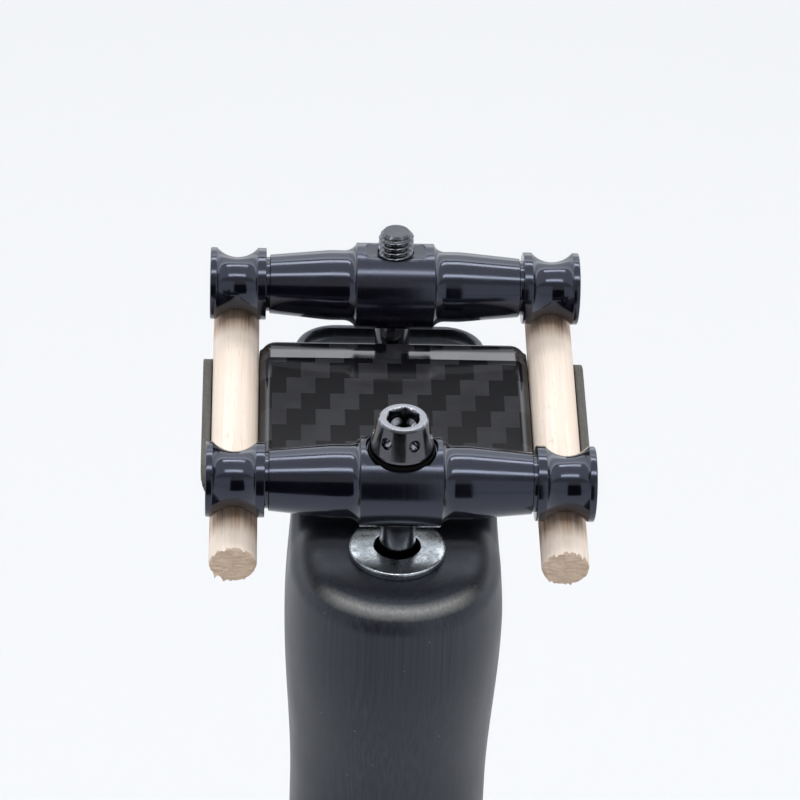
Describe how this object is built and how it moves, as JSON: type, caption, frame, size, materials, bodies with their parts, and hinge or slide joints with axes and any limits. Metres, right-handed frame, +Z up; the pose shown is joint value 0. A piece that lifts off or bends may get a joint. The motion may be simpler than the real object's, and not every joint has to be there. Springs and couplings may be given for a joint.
{
  "type": "bicycle seatpost",
  "caption": "Setback carbon bicycle seatpost with a tilting cradle and turned cross yokes that clamp the saddle rails with bolts; wooden dowels stand in for the rails.",
  "frame": {"origin": "centre of the tube's open lower end", "axes": "+Z up the tube's axis, -Y towards the front of the bicycle, +X to the rider's right"},
  "size_m": [0.0532, 0.0598, 0.2715],
  "materials": {
    "post_carbon": "satin unidirectional carbon, brushed lengthways",
    "twill_carbon": "gloss twill-weave carbon",
    "black_anodised": "polished and anodised black",
    "titanium": "turned titanium grey",
    "zinc_steel": "zinc plated, mottled",
    "plain_alloy": "machined",
    "dark_ring": "matte",
    "pale_wood": "bare, sawn ends"
  },
  "bodies": {
    "head": {"post": "post_carbon", "nut_carrier": "plain_alloy", "rear_cup_washer": "zinc_steel"},
    "barrel_nut": {"barrel_nut": "titanium"},
    "ledge_washer": {"ledge_washer": "zinc_steel"},
    "clamp": {"cradle": "twill_carbon", "cradle_saddle": "post_carbon"},
    "front_yoke": {"front_yoke": "black_anodised", "front_bolt_ring": "dark_ring"},
    "front_bolt": {"front_bolt": "titanium"},
    "rear_yoke": {"rear_yoke": "black_anodised"},
    "rear_washer": {"rear_ball_washer": "zinc_steel"},
    "rear_bolt": {"rear_bolt": "titanium"},
    "left_dowel": {"left_dowel": "pale_wood"},
    "right_dowel": {"right_dowel": "pale_wood"}
  },
  "joints": [
    {"name": "saddle_tilt", "type": "hinge", "parent": "head", "child": "clamp", "pos_m": [0, 0.02115, 0.23107], "axis": [1, 0, 0], "range_deg": [-4, 4]},
    {"name": "nut_swivel", "type": "hinge", "parent": "head", "child": "barrel_nut", "pos_m": [0, -0.00177, 0.22765], "axis": [1, 0, 0], "range_deg": [-4.5, 4.5]},
    {"name": "washer_drift", "type": "slide", "parent": "head", "child": "ledge_washer", "axis": [0, 0.989, 0.1478], "range_m": [-0.0015, 0.0015]},
    {"name": "front_clamp_lift", "type": "slide", "parent": "clamp", "child": "front_yoke", "axis": [0, -0.1478, 0.989], "range_m": [0, 0.004]},
    {"name": "front_bolt_turn", "type": "hinge", "parent": "front_yoke", "child": "front_bolt", "pos_m": [0, -0.00523, 0.25077], "axis": [0, -0.1478, 0.989], "range_deg": [0, 1801]},
    {"name": "rear_clamp_lift", "type": "slide", "parent": "clamp", "child": "rear_yoke", "axis": [0, -0.0872, 0.9962], "range_m": [0, 0.003]},
    {"name": "rear_washer_seat", "type": "slide", "parent": "clamp", "child": "rear_washer", "axis": [0, -0.0872, 0.9962], "range_m": [-0.0012, 0.0012]},
    {"name": "rear_bolt_turn", "type": "hinge", "parent": "rear_washer", "child": "rear_bolt", "pos_m": [0, 0.03091, 0.26251], "axis": [0, -0.0872, 0.9962], "range_deg": [-1351, 0]},
    {"name": "left_dowel_slide", "type": "slide", "parent": "clamp", "child": "left_dowel", "axis": [0, 0.9511, 0.309], "range_m": [-0.005, 0.005]},
    {"name": "right_dowel_slide", "type": "slide", "parent": "clamp", "child": "right_dowel", "axis": [0, 0.9511, 0.309], "range_m": [-0.005, 0.005]}
  ],
  "couplings": [
    {"joint": "nut_swivel", "follows": "saddle_tilt", "ratio": 1},
    {"joint": "washer_drift", "follows": "saddle_tilt", "m_per_rad": -0.01173},
    {"joint": "rear_washer_seat", "follows": "saddle_tilt", "m_per_rad": -0.012465},
    {"joint": "front_bolt_turn", "follows": "front_clamp_lift", "rad_per_m": 7854},
    {"joint": "rear_bolt_turn", "follows": "rear_clamp_lift", "rad_per_m": -7854}
  ]
}
